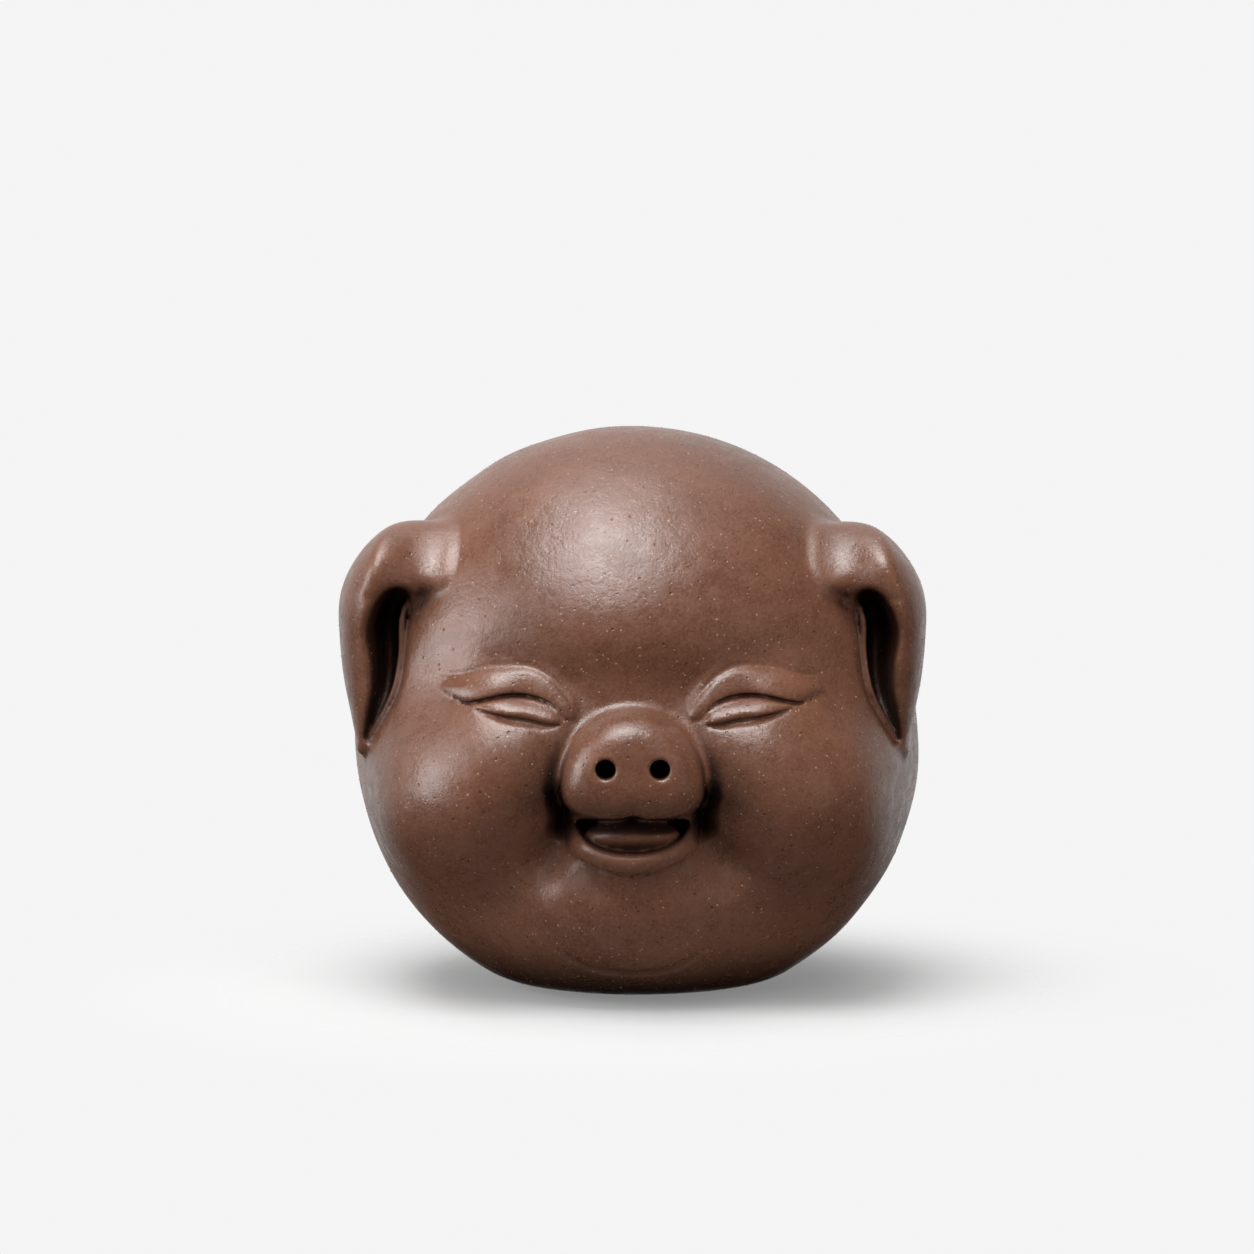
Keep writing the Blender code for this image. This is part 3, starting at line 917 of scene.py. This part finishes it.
class Graph:
    """Lays out the nodes of one material."""

    def __init__(self, name: str) -> None:
        """Starts a material with its shader and its output.

        Args:
            name: The material's name.
        """
        self.material = bpy.data.materials.new(name)
        self.material.use_nodes = True
        self.nodes = self.material.node_tree.nodes
        self.links = self.material.node_tree.links
        self.shader = self.nodes["Principled BSDF"]
        self.place = self.nodes.new("ShaderNodeTexCoord").outputs["Object"]

    def node(self, kind: str, inputs: dict, **settings: object) -> bpy.types.Node:
        """Adds a node to the material, as wired does."""
        return wired(self.material.node_tree, kind, inputs, **settings)

    def noise(self, scale: float, detail: float = 3.0, roughness: float = 0.5) -> bpy.types.NodeSocket:
        """Adds noise over the object's own coordinates."""
        inputs = {"Vector": self.place, "Scale": scale, "Detail": detail, "Roughness": roughness}
        return self.node("ShaderNodeTexNoise", inputs).outputs["Fac"]

    def spots(self, scale: float, jitter: float = 1.0) -> bpy.types.NodeSocket:
        """Adds scattered spots."""
        inputs = {"Vector": self.place, "Scale": scale, "Randomness": jitter}
        return self.node("ShaderNodeTexVoronoi", inputs).outputs["Distance"]

    def mark(self, name: str) -> bpy.types.NodeSocket:
        """Reads one of the mesh's point attributes."""
        return self.node("ShaderNodeAttribute", {}, attribute_name=name).outputs["Fac"]

    def fitted(self, value: bpy.types.NodeSocket, ramp: Ramp) -> bpy.types.NodeSocket:
        """Maps a value along a ramp, as ramped does."""
        return ramped(self.material.node_tree, value, ramp)

    def sum(self, a: object, b: object, how: str = "ADD") -> bpy.types.NodeSocket:
        """Combines two values."""
        return self.node("ShaderNodeMath", {0: a, 1: b}, operation=how).outputs[0]

    def mixed(self, share: object, a: object, b: object, blend: str = "MIX") -> bpy.types.NodeSocket:
        """Mixes two colours.

        Args:
            share: How much of the second there is.
            a: The first colour.
            b: The second colour.
            blend: How they mix.

        Returns:
            The mixed colour.
        """
        node = self.nodes.new("ShaderNodeMix")
        node.data_type = "RGBA"
        node.blend_type = blend
        for name, value in (("Factor_Float", share), ("A_Color", a), ("B_Color", b)):
            socket = next(s for s in node.inputs if s.identifier == name)
            if isinstance(value, bpy.types.NodeSocket):
                self.links.new(value, socket)
            else:
                socket.default_value = value
        return next(s for s in node.outputs if s.identifier == "Result_Color")


@dataclass(frozen=True)
class FiredClay:
    """Brown unglazed clay, mottled by the kiln and rubbed lighter on its swells, with painted shade darkening
    its folds and its lowest part by the foot.
    """

    name: str = "fired_clay"
    dark: Colour = (0.070, 0.0280, 0.0165, 1.0)
    light: Colour = (0.116, 0.048, 0.0280, 1.0)
    red: Colour = (0.138, 0.052, 0.028, 1.0)
    # Painted shade: the near-black laid into the folds and near the foot.
    painted_shade: Colour = (0.018, 0.007, 0.005, 1.0)
    worn: Colour = (0.180, 0.085, 0.052, 1.0)
    speck: Colour = (0.330, 0.210, 0.150, 1.0)
    pit: Colour = (0.030, 0.013, 0.009, 1.0)
    patch_noise: Triple = (70.0, 4.0, 0.55)
    mottle_noise: Triple = (420.0, 5.0, 0.65)
    grain_noise: Triple = (2600.0, 4.0, 0.7)
    red_noise: Triple = (119.0, 3.0, 0.5)
    speck_scale: float = 900.0
    pit_scale: float = 620.0
    patches: Ramp = Ramp(0.3, 0.7)
    mottle: Ramp = Ramp(0.28, 0.72)
    patch_share: float = 0.6
    mottle_share: float = 0.4
    reddish: Ramp = Ramp(0.45, 0.80, 0.0, 0.4)
    grainy: Ramp = Ramp(0.35, 0.7, 0.0, 0.35)
    specks: Ramp = Ramp(0.13, 0.06, 0.0, 0.7)
    pits: Ramp = Ramp(0.14, 0.05)
    pit_share: float = 0.6
    wear: Ramp = Ramp(0.20, 0.60, 0.0, 0.22)
    # How the depth of a fold maps to its painted shade.
    crease_shade_ramp: Ramp = Ramp(0.45, 1.05)
    # Painted shade: the clay is darkened over its lowest few millimetres, by the foot.
    foot_shade: Ramp = Ramp(0.0085, 0.0005, 0.0, 0.85)
    roughness: Ramp = Ramp(0.2, 1.3, 0.24, 0.38)
    grain_share: float = 0.6
    crease_roughness: float = 0.25
    refraction: float = 1.58
    grain_height: float = 0.00004
    pit_depth: float = 1.2

    def material(self) -> bpy.types.Material:
        """Makes the finish.

        Returns:
            The material.
        """
        g = Graph(self.name)
        patches = g.fitted(g.noise(*self.patch_noise), self.patches)
        mottle = g.fitted(g.noise(*self.mottle_noise), self.mottle)
        grain = g.noise(*self.grain_noise)
        pit = g.fitted(g.spots(self.pit_scale), self.pits)
        # The share of painted shade in the folds; it also roughens them.
        painted_shade = g.fitted(g.mark("recess"), self.crease_shade_ramp)
        height = g.node("ShaderNodeSeparateXYZ", {0: g.place}).outputs["Z"]
        patches = g.sum(patches, self.patch_share, "MULTIPLY")
        light = g.sum(patches, g.sum(mottle, self.mottle_share, "MULTIPLY"))
        body = g.mixed(light, self.dark, self.light)
        for share, colour in (
            (g.fitted(g.noise(*self.red_noise), self.reddish), self.red),
            (g.fitted(grain, self.grainy), self.worn),
            (g.fitted(g.spots(self.speck_scale), self.specks), self.speck),
            (g.sum(pit, self.pit_share, "MULTIPLY"), self.pit),
            (g.fitted(g.mark("wear"), self.wear), self.worn),
            # Painted shade, darker the deeper a fold lies.
            (painted_shade, self.painted_shade),
            # Painted shade, darker towards the foot.
            (g.fitted(height, self.foot_shade), self.painted_shade),
        ):
            body = g.mixed(share, body, colour)
        g.links.new(body, g.shader.inputs["Base Color"])
        rough = g.fitted(g.sum(mottle, g.sum(grain, self.grain_share, "MULTIPLY")), self.roughness)
        rough = g.sum(rough, g.sum(painted_shade, self.crease_roughness, "MULTIPLY"))
        g.links.new(rough, g.shader.inputs["Roughness"])
        g.shader.inputs["IOR"].default_value = self.refraction
        skin = g.sum(g.sum(grain, mottle), g.sum(pit, self.pit_depth, "MULTIPLY"), "SUBTRACT")
        bump = g.node("ShaderNodeBump", {"Height": skin, "Distance": self.grain_height, "Strength": 1.0})
        g.links.new(bump.outputs["Normal"], g.shader.inputs["Normal"])
        return g.material


@dataclass(frozen=True)
class PaleGrain:
    """The pale mineral grains that stand a little out of the clay."""

    name: str = "pale_grain"
    colour: Colour = (0.300, 0.180, 0.120, 1.0)
    dull: Colour = (0.12, 0.055, 0.035, 1.0)
    tint_scale: float = 1500.0
    tint: Ramp = Ramp(0.3, 0.7)
    roughness: float = 0.6

    def material(self) -> bpy.types.Material:
        """Makes the finish.

        Returns:
            The material.
        """
        g = Graph(self.name)
        tint = g.mixed(g.fitted(g.noise(self.tint_scale), self.tint), self.colour, self.dull)
        g.links.new(tint, g.shader.inputs["Base Color"])
        g.shader.inputs["Roughness"].default_value = self.roughness
        return g.material


@dataclass(frozen=True)
class GrainScatter:
    """Scatters small grains over the outside of the head, each half sunk in the clay."""

    finish: PaleGrain = PaleGrain()
    per_square_metre: float = 230000.0
    smallest: float = 0.00003
    largest: float = 0.00009
    seed: int = 7

    def tree(self, material: bpy.types.Material) -> bpy.types.NodeTree:
        """Builds the Geometry Nodes tree.

        Args:
            material: The grains' finish.

        Returns:
            The tree, with its sizes as named inputs.
        """
        tree = bpy.data.node_groups.new("grain_scatter", "GeometryNodeTree")
        face = tree.interface
        face.new_socket("Geometry", in_out="INPUT", socket_type="NodeSocketGeometry")
        for name in ("Density", "Smallest", "Largest"):
            face.new_socket(name, in_out="INPUT", socket_type="NodeSocketFloat")
        face.new_socket("Seed", in_out="INPUT", socket_type="NodeSocketInt")
        face.new_socket("Geometry", in_out="OUTPUT", socket_type="NodeSocketGeometry")
        given = wired(tree, "NodeGroupInput", {}).outputs
        shown = wired(tree, "GeometryNodeInputNamedAttribute", {"Name": "outer"}, data_type="FLOAT")
        shares = {0: given["Density"], 1: shown.outputs["Attribute"]}
        density = wired(tree, "ShaderNodeMath", shares, operation="MULTIPLY").outputs[0]
        where = {"Mesh": given["Geometry"], "Density": density, "Seed": given["Seed"]}
        spread = wired(tree, "GeometryNodeDistributePointsOnFaces", where).outputs
        limits = {2: given["Smallest"], 3: given["Largest"], "Seed": given["Seed"]}
        size = wired(tree, "FunctionNodeRandomValue", limits).outputs[1]
        grain = wired(tree, "GeometryNodeMeshIcoSphere", {"Radius": 1.0, "Subdivisions": 1}).outputs["Mesh"]
        each = {"Points": spread["Points"], "Instance": grain, "Rotation": spread["Rotation"], "Scale": size}
        result = wired(tree, "GeometryNodeInstanceOnPoints", each).outputs["Instances"]
        result = wired(tree, "GeometryNodeRealizeInstances", {"Geometry": result}).outputs["Geometry"]
        dressed = {"Geometry": result, "Material": material}
        result = wired(tree, "GeometryNodeSetMaterial", dressed).outputs["Geometry"]
        wired(tree, "NodeGroupOutput", {"Geometry": result})
        return tree

    def over(self, head: bpy.types.Object) -> bpy.types.Object:
        """Scatters the grains over the head.

        Args:
            head: The dressed head.

        Returns:
            The grains as one plain mesh.
        """
        material = self.finish.material()
        carrier = bpy.data.objects.new("grain_carrier", head.data)
        bpy.context.scene.collection.objects.link(carrier)
        modifier = carrier.modifiers.new("grains", "NODES")
        modifier.node_group = self.tree(material)
        sizes = {
            "Density": self.per_square_metre,
            "Smallest": self.smallest,
            "Largest": self.largest,
            "Seed": self.seed,
        }
        for item in modifier.node_group.interface.items_tree:
            if item.item_type == "SOCKET" and item.in_out == "INPUT" and item.name in sizes:
                modifier[item.identifier] = sizes[item.name]
        evaluated = carrier.evaluated_get(bpy.context.evaluated_depsgraph_get())
        mesh = bpy.data.meshes.new_from_object(evaluated)
        mesh.name = "clay_grains"
        bpy.data.objects.remove(carrier)
        grains = bpy.data.objects.new("clay_grains", mesh)
        bpy.context.scene.collection.objects.link(grains)
        mesh.shade_smooth()
        return grains


@dataclass(frozen=True)
class DressedHead:
    """The fired head: its form meshed finely, thinned, marked, and given its finish and its grains."""

    form: PigHead = PigHead()
    finish: FiredClay = FiredClay()
    marks: SkinMarks = SkinMarks()
    scatter: GrainScatter = GrainScatter()
    margin: float = 0.0012
    triangles: int = 190000
    foot_flat: float = 0.00003

    def build(self) -> bpy.types.Object:
        """Meshes the head in the place of its CAD node and dresses it.

        Returns:
            The head's object.
        """
        box_low, box_high = (np.array(corner) for corner in CAD_BOX)
        lean = self.lean()
        low, high = box_low + lean - self.margin, box_high + lean + self.margin
        skin = ClaySkin(tuple(low), tuple(high))
        points, quads = skin.points_and_quads(self.form.clay)
        points[:, 2] = np.where(points[:, 2] < self.foot_flat, 0, points[:, 2])
        shift = (points.min(0) + points.max(0)) / 2
        shift[2] = 0
        mesh = bpy.data.meshes.new("fired_head")
        mesh.from_pydata((points - shift).tolist(), [], quads.tolist())
        rough = bpy.data.objects.new("rough_head", mesh)
        bpy.context.scene.collection.objects.link(rough)
        fewer = rough.modifiers.new("fewer_faces", "DECIMATE")
        fewer.ratio = min(1.0, self.triangles / (2 * len(quads)))
        evaluated = rough.evaluated_get(bpy.context.evaluated_depsgraph_get())
        thinned = bpy.data.meshes.new_from_object(evaluated)
        bpy.data.objects.remove(rough)
        thinned.name = "fired_head"
        head = bpy.data.objects.new("fired_head", thinned)
        bpy.context.scene.collection.objects.link(head)
        thinned.shade_smooth()
        self.marks.put_on(thinned, self.form.clay, self.form.foot.hollow, shift)
        thinned.materials.append(self.finish.material())
        return head

    def lean(self) -> Array:
        """Finds how far the form's own middle lies behind the middle of the CAD box."""
        front = self.form.snout.face_y
        return np.array([0.0, front - CAD_BOX[0][1], 0.0])


@dataclass(frozen=True)
class Lamp:
    """One square soft light, hung around the head and turned to it.

    Attributes:
        name: The light's name.
        towards: The direction from the head to the light.
        away: Its distance from the head.
        size: Its side.
        power: Its power in watts.
        mirrored: Whether it shows in glossy surfaces, or only lights them softly.
    """

    name: str
    towards: Triple
    away: float
    size: float
    power: float
    mirrored: bool = True

    def hang(self, aim: Triple) -> None:
        """Hangs the light.

        Args:
            aim: The place it is turned to.
        """
        data = bpy.data.lights.new(self.name, "AREA")
        data.size = self.size
        data.energy = self.power
        lamp = bpy.data.objects.new(self.name, data)
        direction = Vector(self.towards).normalized()
        lamp.location = Vector(aim) + direction * self.away
        lamp.rotation_euler = (-direction).to_track_quat("-Z", "Y").to_euler()
        lamp.visible_glossy = self.mirrored
        bpy.context.scene.collection.objects.link(lamp)


@dataclass(frozen=True)
class Studio:
    """A pale table under soft lights, seen from the front at the photograph's height."""

    image_side: int = 1254
    pixel_size: float = 0.00012
    distance: float = 0.65
    elevation: float = math.radians(5)
    target_x: float = -0.00065
    target_behind_face: float = 0.03699
    target_z: float = 0.0429
    sensor: float = 36.0
    lamps: tuple[Lamp, ...] = (
        Lamp("key", (-0.17, -0.39, 0.89), 0.60, 0.33, 3.4),
        Lamp("side", (-0.85, -0.17, 0.22), 0.55, 0.35, 2.1),
        Lamp("corner", (-0.52, -0.66, 0.50), 0.60, 0.28, 0.15),
        Lamp("overhead", (-0.16, 0.02, 0.99), 0.87, 0.50, 2.6),
        Lamp("ceiling", (0.0, 0.10, 0.99), 0.87, 1.0, 1.8),
        Lamp("front", (0.0, -0.62, 0.78), 0.90, 0.80, 6.0, False),
        Lamp("left_fill", (-0.78, -0.62, 0.04), 0.80, 0.60, 2.2, False),
        Lamp("right_fill", (0.80, -0.60, 0.06), 0.80, 0.60, 3.4, False),
    )
    aim: Triple = (0.0, 0.0, 0.035)
    table: Colour = (0.36, 0.36, 0.36, 1.0)
    # Painted light: the table glows a little, which lifts the shadow round the head.
    table_glow: float = 0.20
    table_roughness: float = 0.7
    floor_radius: float = 0.75
    floor_sides: int = 96
    floor_fade: Ramp = Ramp(0.023, 0.074)
    backdrop: float = 0.91
    behind: Ramp = Ramp(0.2, 0.9, 0.0, 0.80)
    above: Ramp = Ramp(-0.40, -0.10)

    def camera(self) -> None:
        """Places the camera."""
        data = bpy.data.cameras.new("camera")
        camera = bpy.data.objects.new("camera", data)
        bpy.context.scene.collection.objects.link(camera)
        data.sensor_width = self.sensor
        data.lens = self.distance / self.pixel_size * self.sensor / self.image_side
        target = Vector((self.target_x, CAD_BOX[0][1] + self.target_behind_face, self.target_z))
        back = Vector((0.0, -math.cos(self.elevation), math.sin(self.elevation)))
        camera.location = target + back * self.distance
        camera.rotation_euler = (-back).to_track_quat("-Z", "Y").to_euler()
        bpy.context.scene.camera = camera

    def room(self) -> None:
        """Makes the room: an even pale backdrop, whose light falls on the head from behind."""
        world = bpy.data.worlds.new("room")
        bpy.context.scene.world = world
        world.use_nodes = True
        tree = world.node_tree
        place = wired(tree, "ShaderNodeTexCoord", {}).outputs["Generated"]
        parts = wired(tree, "ShaderNodeSeparateXYZ", {"Vector": place}).outputs
        shares = {0: ramped(tree, parts["Y"], self.behind), 1: ramped(tree, parts["Z"], self.above)}
        light = wired(tree, "ShaderNodeMath", shares, operation="MULTIPLY").outputs[0]
        camera = wired(tree, "ShaderNodeLightPath", {}).outputs["Is Camera Ray"]
        seen = wired(tree, "ShaderNodeMix", {"Factor": camera, "A": light, "B": self.backdrop})
        background = tree.nodes["Background"].inputs
        background["Color"].default_value = (1.0, 1.0, 1.0, 1.0)
        tree.links.new(seen.outputs["Result"], background["Strength"])

    def floor(self) -> bpy.types.Object:
        """Lays the pale table, which fades out into the room before its edge shows.

        Returns:
            The floor's object.
        """
        mesh = bpy.data.meshes.new("floor")
        ring = [i * math.tau / self.floor_sides for i in range(self.floor_sides)]
        rim = [(self.floor_radius * math.cos(a), self.floor_radius * math.sin(a), 0.0) for a in ring]
        mesh.from_pydata(rim, [], [list(range(self.floor_sides))])
        floor = bpy.data.objects.new("floor", mesh)
        bpy.context.scene.collection.objects.link(floor)
        g = Graph("pale_table")
        g.shader.inputs["Base Color"].default_value = self.table
        g.shader.inputs["Roughness"].default_value = self.table_roughness
        g.shader.inputs["Specular IOR Level"].default_value = 0.0
        # The glow is painted light that lifts the table's shadow.
        g.shader.inputs["Emission Color"].default_value = (1.0, 1.0, 1.0, 1.0)
        g.shader.inputs["Emission Strength"].default_value = self.table_glow
        out = g.node("ShaderNodeVectorMath", {0: g.place}, operation="LENGTH").outputs["Value"]
        share = g.fitted(out, self.floor_fade)
        clear = g.node("ShaderNodeBsdfTransparent", {})
        both = g.node("ShaderNodeMixShader", {0: share})
        g.links.new(g.shader.outputs["BSDF"], both.inputs[1])
        g.links.new(clear.outputs["BSDF"], both.inputs[2])
        g.links.new(both.outputs["Shader"], g.nodes["Material Output"].inputs["Surface"])
        mesh.materials.append(g.material)
        floor.visible_glossy = False
        return floor

    def set_up(self) -> None:
        """Sets up the camera, the lights, the room and the floor."""
        self.camera()
        for lamp in self.lamps:
            lamp.hang(self.aim)
        self.room()
        self.floor()
        bpy.context.scene.view_settings.view_transform = "Standard"


def main() -> None:
    """Builds, dresses and reports the head, then sets up the studio."""
    logging.basicConfig(level=logging.INFO, format="%(message)s")
    dressed = DressedHead()
    head = dressed.build()
    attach(head, "root")
    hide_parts("pig_head")
    LOG.info("fired_head: %d triangles", sum(len(face.vertices) - 2 for face in head.data.polygons))
    grains = dressed.scatter.over(head)
    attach(grains, "root")
    LOG.info("clay_grains: %d triangles", len(grains.data.polygons))
    Studio().set_up()


if __name__ == "__main__":
    main()
